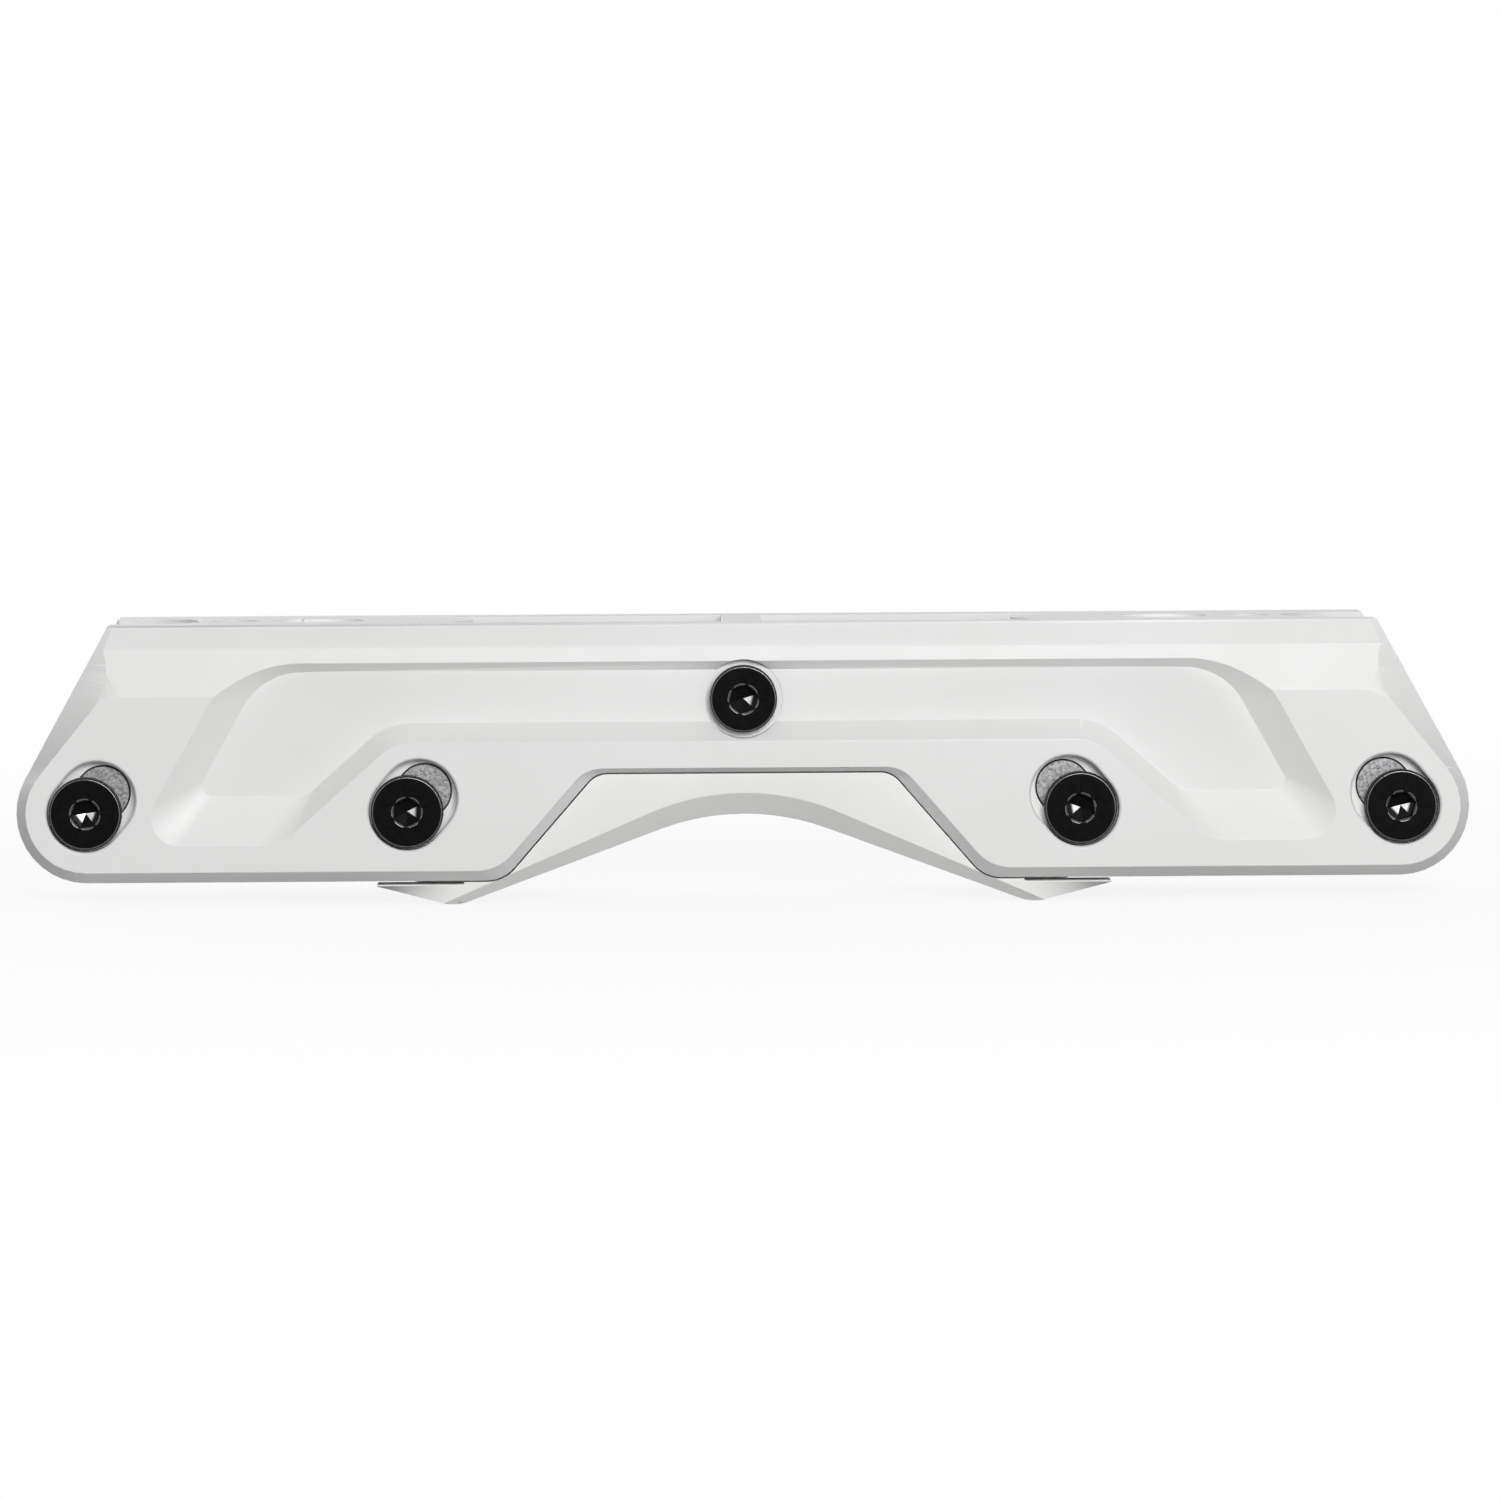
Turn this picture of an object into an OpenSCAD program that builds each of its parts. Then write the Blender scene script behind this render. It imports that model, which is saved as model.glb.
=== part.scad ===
/* [Wheel line] */
// Distance from the middle of the frame to each outer axle
outer_axle_x = 127; // [124:0.5:134]
// Distance from the middle of the frame to each inner axle
inner_axle_x = 65; // [62:0.5:68]
// Depth of the axle line below the boot face
axle_drop = 36.1; // [35:0.1:40]
// Radius kept clear round each inner axle for its wheel
wheel_room_r = 33.5; // [32:0.5:35]

/* [Walls] */
// Width over the outer faces of the two walls
frame_w = 45; // [44:0.5:50]
// Width of the channel between the walls
channel_w = 26; // [25.4:0.1:27]
// Radius of the frame end round each outer axle
end_r = 13.5; // [12.5:0.1:15]
// Lean of the sloping frame ends from upright, in degrees
end_lean = 29; // [22:1:32]
// Width of the bevel round each wall, seen from the side
bevel_w = 2.1; // [1:0.1:2.5]
// Depth of that bevel, and of the step in to the narrower top
bevel_depth = 2.5; // [1.5:0.1:3]
// Depth of the bevel where it starts round the tip of each end
end_bevel_depth = 5; // [3:0.1:6]
// Width of the bevel along the top of the notch
notch_bevel_w = 1; // [0.6:0.1:2]
// Extra lean of the wall face inside that bevel at the sloping ends, in degrees
face_turn = 10; // [0:1:12]
// Radius of the face where its shoulder meets a sloping end
face_corner_r = 10; // [6:0.5:12]
// Height of the upright band under the boot face
top_band_h = 4.7; // [3.5:0.1:6]
// Depth below the boot face at which a wall reaches its full width
shoulder_drop = 13.5; // [11:0.1:16]
// Height of the bosses inside the channel that face the bearings
boss_h = 0.8; // [0.3:0.1:1]
// Radius of those bosses
boss_r = 7.2; // [6.5:0.1:8]

/* [Side recess] */
// Depth of the recess floor below the full width of the wall
recess_depth = 3.6; // [2.8:0.1:4.2]
// Depth of the floor's upper edge below the boot face
recess_floor_drop = 9.1; // [8.5:0.1:11]
// Height of the foot of the recess above the wall's lower edge
recess_foot_h = 7.2; // [6:0.1:9]
// Distance from each outer axle to the outer corner of the recess
recess_end_gap = 8.9; // [8:0.1:12]
// Lean of the recess ends from upright, in degrees
recess_end_lean = 28.9; // [22:0.1:32]
// Height of the recess's lower edge above the axle line
rail_rise = 13.4; // [12.5:0.1:14.5]
// Distance from each inner axle out to the bend of that edge
rail_bend_gap = 2.4; // [0:0.1:5]
// Slope of that edge beyond the bend, in degrees
rail_slope = 41.7; // [36:0.1:46]
// Run of the recess side at its top
top_run = 3.4; // [2:0.1:4.5]
// Run of the recess side at each end
end_run = 6; // [3:0.1:7]
// Run of the recess side along its lower edge
rail_run = 3.6; // [2:0.1:4.5]
// Run of the ramp at each foot
foot_run = 9.4; // [6:0.1:10]

/* [Boot plates] */
// Spacing of the two boot bolts
boot_bolt_spacing = 165; // [160:0.5:170]
// Width of each boot bolt slot
boot_slot_w = 6.6; // [5.5:0.1:8]
// Length of each boot bolt slot
boot_slot_l = 11; // [9:0.1:13]
// Length of the shallow pocket round each slot
boot_pocket_l = 18; // [16:0.1:20]
// Width of that pocket
boot_pocket_w = 14; // [12:0.1:18]
// Depth of that pocket
boot_pocket_depth = 1.5; // [0.8:0.1:2]
// Thickness of the two boot plates
plate_t = 5; // [4:0.1:5.5]
// Extra thickness under each slot
plate_pad_t = 1.4; // [0.8:0.1:2]
// Distance from the middle to the rounded inner end of each plate
plate_nose_x = 52.5; // [46:0.5:56]
// Radius of that rounded end
plate_nose_r = 14; // [13.8:0.1:18]
// Distance from the middle to the open notch in each plate's outer end
plate_notch_x = 105.6; // [104:0.1:110]
// Half the width of that notch
plate_notch_r = 11.5; // [10:0.1:12]
// Distance from the middle to the round hole in each plate
plate_hole_x = 98.9; // [97.5:0.1:100]
// Radius of that hole
plate_hole_r = 4.8; // [3:0.1:5]
// Length of the cross tie in the middle of the top
tie_l = 7.7; // [6:0.1:12]
// Thickness of that tie
tie_t = 4.4; // [3:0.1:5]
// Length of the small keyway in each wall beside the plate
keyway_l = 4.3; // [3:0.1:6]
// Depth of that keyway, both down and into the wall
keyway_depth = 1.6; // [1:0.1:2.5]

/* [Axle inserts] */
// Travel that turning an insert end for end gives the axle
slot_travel = 3.6; // [3:0.1:4]
// Rise of that travel above level, in degrees
slot_angle = 50; // [40:1:60]
// Radius of each end of the head recess
recess_r = 7.4; // [7.4:0.1:7.8]
// Bevel on the rim of that recess
recess_bevel = 0.4; // [0.2:0.1:0.6]
// Radius of each end of an insert
insert_r = 5.1; // [5:0.1:5.5]
// Distance between the two end centres of an insert
insert_span = 6.8; // [6.4:0.1:7.2]
// Thickness of an insert
insert_t = 3.8; // [3:0.1:4.5]
// Gap round an insert in its pocket
insert_gap = 0.22; // [0.15:0.01:0.3]
// Width of the ledge behind an insert
insert_ledge = 0.7; // [0.5:0.1:0.8]

/* [Axles and bolts] */
// Length of the axle between the bearing faces
axle_seat_l = 24; // [23:0.1:24.2]
// Radius of the axle where the bearings run
axle_r = 4; // [3.5:0.05:4.05]
// Step up in radius on the head side of that seat
journal_step = 0.2; // [0.1:0.05:0.25]
// Step down in radius on the screw side of that seat
tip_step = 0.4; // [0.2:0.05:0.6]
// Radius of the screws
screw_r = 2.5; // [2:0.1:2.6]
// Length of the screws below the head
screw_l = 13; // [8:0.5:15]
// Radius of the axle heads
head_r = 7; // [6.6:0.05:7.05]
// Radius of the block bolt heads
block_head_r = 6.5; // [6:0.05:6.7]
// Thickness of all heads
head_h = 3; // [2.7:0.1:3.4]
// Bevel on the rim of a head
head_bevel = 0.3; // [0.2:0.05:0.6]
// Depth of a head's face below the wall face
head_sink = 0.2; // [0.1:0.1:0.8]
// Size of the hex key across its flats
key_af = 5; // [4:0.5:5]
// Depth of the hex socket
key_depth = 2; // [1.5:0.1:2.1]
// Depth of the pointed bottom of the socket
key_point_h = 0.7; // [0.3:0.1:0.8]
// Bevel at the mouth of the socket
key_bevel = 0.45; // [0.3:0.05:0.6]
// Radial clearance of a shaft in its hole
running_gap = 0.05; // [0.02:0.01:0.1]
// Gap left at the end of a shaft
end_gap = 0.6; // [0.3:0.1:1]

/* [Grind block] */
// Half width of the wall notch at its top
notch_half = 28.6; // [26:0.1:30]
// Height of that notch
notch_h = 20.7; // [19:0.1:22]
// Slope of the notch sides, in degrees
notch_slope = 49; // [44:1:54]
// Depth of the block bolt below the boot face
block_bolt_drop = 14.7; // [14:0.1:15.5]
// Clearance round the block bolt's heads
spotface_gap = 1.1; // [0.6:0.1:1.4]
// Depth of the spotface below the recess floor
spotface_depth = 0.2; // [0.1:0.1:0.6]
// Clearance round the block bolt in the walls and the block
block_bolt_gap = 0.15; // [0.1:0.01:0.3]
// Clearance of the block in the notch and the channel
block_gap = 0.25; // [0.15:0.01:0.35]
// Wider gap between the block's feet and the walls
foot_gap = 0.7; // [0.5:0.05:0.9]
// Distance from the middle at which that wider gap starts
foot_gap_x = 54.2; // [53:0.1:56]
// Distance from the middle to the tip of each foot
foot_tip_x = 71; // [66:0.5:76]
// Slope of the underside of each foot, in degrees
foot_slope = 14.5; // [12:0.5:17]
// Distance from the middle to the lowest point of each foot
foot_low_x = 55.6; // [52:0.1:58]
// Slope of the arch sides, in degrees
arch_slope = 20.2; // [18:0.1:22]
// Radius of the top of the arch
arch_r = 46; // [36:1:52]
// Radius at the foot of each notch side
notch_foot_r = 7; // [4:0.5:9]
// Radius at the top of each notch side
notch_top_r = 5; // [3:0.5:7]
// Height of the arch bevel, seen from the side
arch_bevel_h = 4.2; // [3:0.1:5]
// Depth of the arch bevel
arch_bevel_depth = 3; // [2:0.1:5]
// Slope of the upper line of that bevel, in degrees
arch_bevel_slope = 23.4; // [22:0.1:25]
// Half width of the block's tongue at its foot
tongue_half = 36; // [33:0.5:40]
// Radius of the lug round the block bolt
lug_r = 9; // [8:0.1:9.4]

/* [Hidden] */
axle_count = 4;
$fn = 64;
// Steps in each rounded corner of an outline, and in each end of a slot
arc_steps = 12;
slot_steps = 24;
// Steps along a bevel that turns
side_steps = 40;
// Length by which a cut runs past the face that it opens
past = 1;

// Half widths, measured from the middle plane
face_y = frame_w / 2;
top_y = face_y - bevel_depth;
channel_y = channel_w / 2;
boss_y = channel_y - boss_h;
recess_y = face_y - recess_depth;
head_seat_y = face_y - head_sink - head_h;
insert_lift = 0.1;
head_recess_y = head_seat_y - insert_lift;
insert_back_y = head_seat_y - insert_t;
block_seat_y = recess_y - spotface_depth;
block_y = top_y;
axle_seat_y = axle_seat_l / 2;

// Heights, measured from the boot face
axle_z = -axle_drop;
wall_foot_z = axle_z - end_r;
recess_foot_z = wall_foot_z + recess_foot_h;
rail_z = axle_z + rail_rise;
notch_top_z = wall_foot_z + notch_h;
block_bolt_z = -block_bolt_drop;

axle_xs = [-outer_axle_x, -inner_axle_x, inner_axle_x, outer_axle_x];
axle_turns = [8, 27, 40, 14];
block_turn = 17;
journal_r = axle_r + journal_step;
tip_r = axle_r - tip_step;
insert_passage_r = insert_r - insert_ledge;

function unit(v) = v / norm(v);
function leftward(v) = [-v[1], v[0]];
function mirrored(points) = [for (i = [len(points) - 1:-1:0]) [-points[i][0], points[i][1]]];
function at_depth(points, y) = [for (p = points) [p[0], y, p[1]]];

// Point where the line through p along u meets the line through q along v
function meet(p, u, q, v) =
    let (across = u[0] * v[1] - u[1] * v[0])
    p + u * ((q[0] - p[0]) * v[1] - (q[1] - p[1]) * v[0]) / across;

// Outline moved inwards, with its own distance for the side that follows each corner
function inset(points, by) =
    let (n = len(points))
    [
        for (i = [0:n - 1])
            let (
                before = unit(points[i] - points[(i + n - 1) % n]),
                after = unit(points[(i + 1) % n] - points[i])
            )
            meet(
                points[i] + leftward(before) * by[(i + n - 1) % n], before,
                points[i] + leftward(after) * by[i], after
            )
    ];

// Arc that rounds the corner at b, between a and c
function corner_arc(a, b, c, r) =
    let (
        u = unit(a - b),
        v = unit(c - b),
        half = acos(u * v) / 2,
        centre = b + unit(u + v) * r / sin(half),
        from = b + u * r / tan(half) - centre,
        to = b + v * r / tan(half) - centre,
        first = atan2(from[1], from[0]),
        turn = (atan2(to[1], to[0]) - first + 540) % 360 - 180
    )
    [
        for (k = [0:arc_steps])
            let (angle = first + turn * k / arc_steps)
            centre + r * [cos(angle), sin(angle)]
    ];

// Outline with its corners rounded, or left sharp where the radius is 0
function rounded(points, radii) =
    let (n = len(points))
    [
        for (i = [0:n - 1])
            each radii[i] == 0
                ? [points[i]]
                : corner_arc(points[(i + n - 1) % n], points[i], points[(i + 1) % n], radii[i])
    ];

// Cylinder across the frame from y0 to y1
module across(x, z, y0, y1, r) {
    translate([x, y0, z])
        rotate([-90, 0, 0])
            cylinder(h = y1 - y0, r = r);
}

// Outline with round ends, with its two end centres given
function slot_outline(from, to, r) =
    let (way = atan2(to[1] - from[1], to[0] - from[0]))
    [
        for (end = [[from, way + 90], [to, way - 90]], k = [0:slot_steps])
            let (angle = end[1] + 180 * k / slot_steps)
            end[0] + r * [cos(angle), sin(angle)]
    ];

// Slot of that outline across the frame from y0 to y1
module slot_across(from, to, y0, y1, r) {
    translate([0, y1, 0])
        rotate([90, 0, 0])
            linear_extrude(y1 - y0)
                polygon(slot_outline(from, to, r));
}

// The same slot with its radius changing from r0 at y0 to r1 at y1
module slot_cone(from, to, y0, y1, r0, r1) {
    n = 2 * slot_steps + 2;
    polyhedron(
        concat(at_depth(slot_outline(from, to, r0), y0), at_depth(slot_outline(from, to, r1), y1)),
        concat(
            [for (i = [0:n - 1]) let (next = (i + 1) % n) each [[i, next, next + n], [i, next + n, i + n]]],
            [[for (i = [n - 1:-1:0]) i], [for (i = [0:n - 1]) i + n]]
        )
    );
}

// Upright slot with round ends along the frame
module slot_up(x, length, width, z0, z1) {
    for (end = [-1, 1]) {
        translate([x + end * (length - width) / 2, 0, z0])
            cylinder(h = z1 - z0, d = width);
    }
    translate([x - (length - width) / 2, -width / 2, z0])
        cube([length - width, width, z1 - z0]);
}

// Axle k's hole, and the middle of its insert
function axle_at(k) = [axle_xs[k - 1], axle_z];
function slot_way(k) = [-sign(axle_xs[k - 1]) * cos(slot_angle), sin(slot_angle)];
function slot_end(k) = axle_at(k) + slot_way(k) * slot_travel;
function insert_end(k, side) = axle_at(k) + slot_way(k) * (slot_travel / 2 + side * insert_span / 2);

// Side outline of a wall, from its top corners down and round the notch
function end_line_x(lean, r, z) = outer_axle_x + (axle_z - z) * tan(lean) + r / cos(lean);
function end_edge_x(z) = end_line_x(end_lean, end_r, z);
above = 2 * bevel_w + past;
notch_foot_x = notch_half + notch_h / tan(notch_slope);
wall_left = [
    [-end_edge_x(above), above],
    [-end_edge_x(wall_foot_z), wall_foot_z],
    [-notch_foot_x, wall_foot_z],
    [-notch_half, notch_top_z]
];
wall_corners = concat(wall_left, mirrored(wall_left));
wall_edge_r = [past, end_r, notch_foot_r, notch_top_r];
wall_face_r = [past, end_r - bevel_w, notch_foot_r + bevel_w, notch_top_r + bevel_w];
wall_edge = rounded(wall_corners, concat(wall_edge_r, [for (i = [3:-1:0]) wall_edge_r[i]]));

// The same outline at the full width of the wall, with a greater lean at its ends
face_lean = end_lean + face_turn;
function face_edge_x(z) = end_line_x(face_lean, end_r - bevel_w, z);
face_inset = inset(wall_corners, [for (i = [0:7]) i == 3 ? notch_bevel_w : bevel_w]);
face_left = [
    [-face_edge_x(above - bevel_w), above - bevel_w],
    [-face_edge_x(wall_foot_z + bevel_w), wall_foot_z + bevel_w],
    face_inset[2],
    face_inset[3]
];
wall_face = rounded(
    concat(face_left, mirrored(face_left)),
    concat(wall_face_r, [for (i = [3:-1:0]) wall_face_r[i]])
);

// Depth of the bevel at each point of the outline, growing towards the tips of the ends
wall_depth = [
    for (i = [0:len(wall_edge) - 1])
        let (
            corner = floor(i / (arc_steps + 1)),
            share = i % (arc_steps + 1) / arc_steps,
            grown = corner == 1 ? 1 - share : corner == 6 ? share : 0
        )
        bevel_depth + (end_bevel_depth - bevel_depth) * grown
];

// Line with two of its sides in equal steps, each given by the point before it
function stepped(points, sides) =
    let (n = len(points))
    [
        for (i = [0:n - 1])
            let (steps = i == sides[0] || i == sides[1] ? side_steps : 1)
            for (k = [0:steps - 1])
                points[i] + (points[(i + 1) % n] - points[i]) * k / steps
    ];

wall_top = [end_edge_x(0), 0];
wall_side = concat(
    [[-wall_top[0], 0]],
    [for (i = [arc_steps + 1:len(wall_edge) - arc_steps - 2]) wall_edge[i]],
    [wall_top]
);

// Side outline of the recess, at the full width of the wall and at its floor
recess_mouth_z = top_run - recess_floor_drop;
recess_end_x = outer_axle_x - recess_end_gap;
rail_bend_x = inner_axle_x + rail_bend_gap;
recess_left = [
    [-recess_end_x + (recess_mouth_z - recess_foot_z) * tan(recess_end_lean), recess_mouth_z],
    [-recess_end_x, recess_foot_z],
    [-rail_bend_x - (rail_z - recess_foot_z) / tan(rail_slope), recess_foot_z],
    [-rail_bend_x, rail_z]
];
recess_corners = concat(recess_left, mirrored(recess_left));
recess_runs = [end_run, foot_run, rail_run, rail_run, rail_run, foot_run, end_run, top_run];
recess_mouth_r = [20, 5.5, 12, 10];
recess_floor_r = [13, 2, 5, 12];
recess_mouth = rounded(recess_corners, concat(recess_mouth_r, [for (i = [3:-1:0]) recess_mouth_r[i]]));
recess_floor = rounded(
    inset(recess_corners, recess_runs),
    concat(recess_floor_r, [for (i = [3:-1:0]) recess_floor_r[i]])
);

// Side outline of the block, from the start of each wider foot gap round the tip to the arch
foot_gap_z = wall_foot_z - foot_gap;
foot_tip_h = 0.3;
foot_tip_z = foot_gap_z - foot_tip_h;
foot_low_z = foot_tip_z - (foot_tip_x - foot_low_x) * tan(foot_slope);
foot_low_r = 8;
arch_corner_z = foot_low_z + foot_low_x * tan(arch_slope);
block_left = [
    [-foot_gap_x, wall_foot_z - block_gap],
    [-foot_gap_x, foot_gap_z],
    [-foot_tip_x, foot_gap_z],
    [-foot_tip_x, foot_tip_z],
    [-foot_low_x, foot_low_z]
];
block_left_r = [0, 0, 0, 0, foot_low_r];
notch_line = inset(wall_corners, [for (c = wall_corners) -block_gap]);
block_side = rounded(
    concat(block_left, [[0, arch_corner_z]], mirrored(block_left), [for (i = [5:-1:2]) notch_line[i]]),
    concat(
        block_left_r,
        [arch_r],
        [for (i = [4:-1:0]) block_left_r[i]],
        [notch_foot_r, notch_top_r, notch_top_r, notch_foot_r]
    )
);

// Line of the arch from end to end, and past the feet, with its top at a given height
arch_top_z = arch_corner_z - arch_r * (1 / cos(arch_slope) - 1);
function arch_line(top_z, slope) =
    let (
        corner = [0, top_z + arch_r * (1 / cos(slope) - 1)],
        end = [foot_tip_x + past, corner[1] - (foot_tip_x + past) * tan(slope)],
        start = [-end[0], end[1]]
    )
    concat([start], corner_arc(start, corner, end, arch_r), [end]);

// Ring that cuts the bevel round the near wall
module edge_cutter() {
    // Places along the bevel's slope, from 0 at the edge to 1 at the face, with one beside it
    outside = -0.5;
    beyond = 1.5;
    beside = -2;
    sides = [arc_steps, len(wall_edge) - arc_steps - 2];
    edge = stepped(wall_edge, sides);
    face = stepped(wall_face, sides);
    depth = stepped(wall_depth, sides);
    n = len(edge);
    points = [
        for (i = [0:n - 1], place = [[outside, outside], [beyond, beyond], [beside, beyond]])
            let (p = edge[i] + (face[i] - edge[i]) * place[0])
            [p[0], depth[i] * (1 - place[1]) - face_y, p[1]]
    ];
    faces = [
        for (i = [0:n - 1], j = [0:2])
            let (
                a = 3 * i + j,
                b = 3 * i + (j + 1) % 3,
                c = 3 * ((i + 1) % n) + (j + 1) % 3,
                d = 3 * ((i + 1) % n) + j
            )
            each [[a, c, b], [a, d, c]]
    ];
    polyhedron(points, faces, convexity = 8);
}

// Cone that rounds the corner of the near face at the back end, from the end of the top band
module corner_cutter() {
    // Lengths past the tip, the face and the two ends of the corner, as shares of each
    tip_share = 0.04;
    face_share = 1.5;
    end_share = 0.3;
    corner = [-face_edge_x(-shoulder_drop), -shoulder_drop];
    band_end = [-end_edge_x(-top_band_h), -top_band_h];
    tip = band_end + (band_end - corner) * tip_share;
    tip_y = bevel_depth * tip_share - top_y;
    base_y = tip_y - (face_y + tip_y) * face_share;
    arc = corner_arc(
        corner - [sin(face_lean), cos(face_lean)], corner, corner + [1, 0],
        face_corner_r
    );
    last = arc_steps;
    rim = concat(
        [arc[0] + (arc[0] - arc[1]) * end_share],
        [for (i = [1:last - 1]) arc[i]],
        [arc[last] + (arc[last] - arc[last - 1]) * end_share],
        [corner + [-bevel_w, bevel_w]]
    );
    base = [for (p = rim) tip + (p - tip) * face_share];
    n = len(base);
    polyhedron(
        concat(at_depth(base, base_y), [[tip[0], tip_y, tip[1]]]),
        concat(
            [for (i = [0:n - 1]) [n, i, (i + 1) % n]],
            [for (i = [0:n - 3]) [n - 1, i + 1, i]]
        )
    );
}

module near_wall() {
    shoulder_lean = (shoulder_drop - top_band_h) / bevel_depth;
    difference() {
        rotate([90, 0, 0])
            translate([0, 0, channel_y])
                linear_extrude(face_y - channel_y)
                    polygon(wall_side);
        rotate([90, 0, 90])
            linear_extrude(2 * outer_axle_x + 4 * end_r, center = true)
                polygon([
                    [-top_y, past],
                    [-top_y, -top_band_h],
                    [-face_y - past, -shoulder_drop - past * shoulder_lean],
                    [-face_y - past, past]
                ]);
        edge_cutter();
        for (end = [0, 1]) {
            mirror([end, 0, 0]) corner_cutter();
        }
    }
    for (k = [1:axle_count]) {
        slot_across(axle_at(k), slot_end(k), -channel_y - past, -boss_y, boss_r);
    }
}

// Cutter of the side recess, with its end faces in strips down each leg
module recess_cutter() {
    opened = recess_mouth + (recess_mouth - recess_floor) * past / recess_depth;
    n = len(recess_floor);
    sides = [
        for (i = [0:n - 1])
            let (next = (i + 1) % n)
            each [[i, next + n, next], [i, i + n, next + n]]
    ];
    legs = [
        for (i = [0:n / 4 - 2])
            each [
                [i, i + 1, n / 2 - 2 - i, n / 2 - 1 - i],
                [n / 2 + i, n / 2 + 1 + i, n - 2 - i, n - 1 - i]
            ]
    ];
    quads = concat(legs, [[n - 1, 0, n / 2 - 1, n / 2]]);
    floor_end = [for (q = quads) each [[q[0], q[1], q[2]], [q[0], q[2], q[3]]]];
    open_end = [for (t = floor_end) [t[0] + n, t[2] + n, t[1] + n]];
    polyhedron(
        concat(at_depth(recess_floor, -recess_y), at_depth(opened, -face_y - past)),
        concat(sides, floor_end, open_end),
        convexity = 8
    );
}

// Recess of the near wall, and the hole and spotface of the block bolt
module face_cuts() {
    recess_cutter();
    across(0, block_bolt_z, -face_y - past, -block_seat_y, block_head_r + spotface_gap);
    across(0, block_bolt_z, -block_seat_y - past, -channel_y + past, axle_r + block_bolt_gap);
}

// Head recesses, plug pockets and axle passages of the near wall
module axle_cuts() {
    for (k = [1:axle_count]) {
        slot_across(axle_at(k), slot_end(k), -face_y - past, -head_recess_y, recess_r);
        slot_cone(
            axle_at(k), slot_end(k),
            -face_y - recess_bevel, -face_y + 2 * recess_bevel,
            recess_r + 2 * recess_bevel, recess_r - recess_bevel
        );
        slot_across(
            insert_end(k, -1), insert_end(k, 1),
            -head_recess_y - past, -insert_back_y,
            insert_r + insert_gap
        );
        slot_across(axle_at(k), slot_end(k), -insert_back_y - past, -boss_y + past, insert_passage_r);
    }
}

// Near wall with all that is cut into it
module near_side() {
    difference() {
        near_wall();
        face_cuts();
        axle_cuts();
    }
}

// Plate between the walls at the front end, with its rounded inner end
module boot_plate() {
    nose_middle = plate_nose_x + plate_nose_r;
    notch_middle = plate_notch_x + plate_notch_r;
    bolt_x = boot_bolt_spacing / 2;
    difference() {
        union() {
            translate([nose_middle, -channel_y - past, -plate_t])
                cube([end_edge_x(0) - nose_middle, channel_w + 2 * past, plate_t]);
            translate([nose_middle, 0, -plate_t])
                cylinder(h = plate_t, r = plate_nose_r);
            slot_up(bolt_x, boot_pocket_l, boot_pocket_w, -plate_t - plate_pad_t, -plate_t / 2);
        }
        translate([notch_middle, 0, -plate_t - past])
            cylinder(h = plate_t + 2 * past, r = plate_notch_r);
        translate([notch_middle, -plate_notch_r, -plate_t - past])
            cube([end_r + plate_notch_r, 2 * plate_notch_r, plate_t + 2 * past]);
        translate([plate_hole_x, 0, -plate_t - past])
            cylinder(h = plate_t + 2 * past, r = plate_hole_r);
        slot_up(bolt_x, boot_pocket_l, boot_pocket_w, -boot_pocket_depth, past);
        slot_up(bolt_x, boot_slot_l, boot_slot_w, -plate_t - plate_pad_t - past, past);
    }
}

// Small keyway in the near wall's inner edge, beside a plate's inner end
module keyway() {
    translate([plate_nose_x + plate_nose_r - keyway_l, -channel_y - keyway_depth, -keyway_depth])
        cube([keyway_l, keyway_depth, keyway_depth + past]);
}

module chassis() {
    color("whitesmoke")
        difference() {
            union() {
                for (side = [0, 1]) {
                    mirror([0, side, 0]) near_side();
                    mirror([side, 0, 0]) boot_plate();
                }
                translate([-tie_l / 2, -channel_y - past, -tie_t])
                    cube([tie_l, channel_w + 2 * past, tie_t]);
            }
            for (side = [0, 1], end = [0, 1]) {
                mirror([0, side, 0]) mirror([end, 0, 0]) keyway();
            }
        }
}

// Body of the block across the whole frame
module block_body() {
    rotate([90, 0, 0])
        linear_extrude(2 * block_y, center = true)
            polygon(block_side);
}

// Wedge that cuts the arch bevel on the near face of the block
module arch_cutter() {
    // Places along the bevel's slope, from 0 at the face to 1 at the arch
    outside = -0.25;
    beyond = 1.25;
    end_depth = arch_bevel_depth / 4;
    sides = [0, arc_steps + 1];
    face = stepped(arch_line(arch_top_z + arch_bevel_h, arch_bevel_slope), sides);
    edge = stepped(arch_line(arch_top_z, arch_slope), sides);
    depth = stepped(
        concat([end_depth], [for (k = [0:arc_steps]) arch_bevel_depth], [end_depth]),
        sides
    );
    n = len(face);
    points = [
        for (i = [0:n - 1], place = [[outside, outside], [beyond, beyond], [beyond, outside]])
            let (p = face[i] + (edge[i] - face[i]) * place[0])
            [p[0], depth[i] * place[1] - block_y, p[1]]
    ];
    faces = [
        for (i = [0:n - 2], j = [0:2])
            let (a = 3 * i + j, b = 3 * i + (j + 1) % 3)
            each [[a, b, b + 3], [a, b + 3, a + 3]]
    ];
    polyhedron(points, concat(faces, [[2, 1, 0], [3 * n - 3, 3 * n - 2, 3 * n - 1]]), convexity = 8);
}

// Tongue of the block between the walls, up to the lug round its bolt
module block_tongue() {
    foot_z = notch_top_z - notch_top_r;
    rotate([90, 0, 0])
        linear_extrude(channel_w - 2 * block_gap, center = true)
            polygon([
                [-tongue_half, foot_z],
                [tongue_half, foot_z],
                [lug_r, block_bolt_z],
                [-lug_r, block_bolt_z]
            ]);
    across(0, block_bolt_z, block_gap - channel_y, channel_y - block_gap, lug_r);
}

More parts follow.
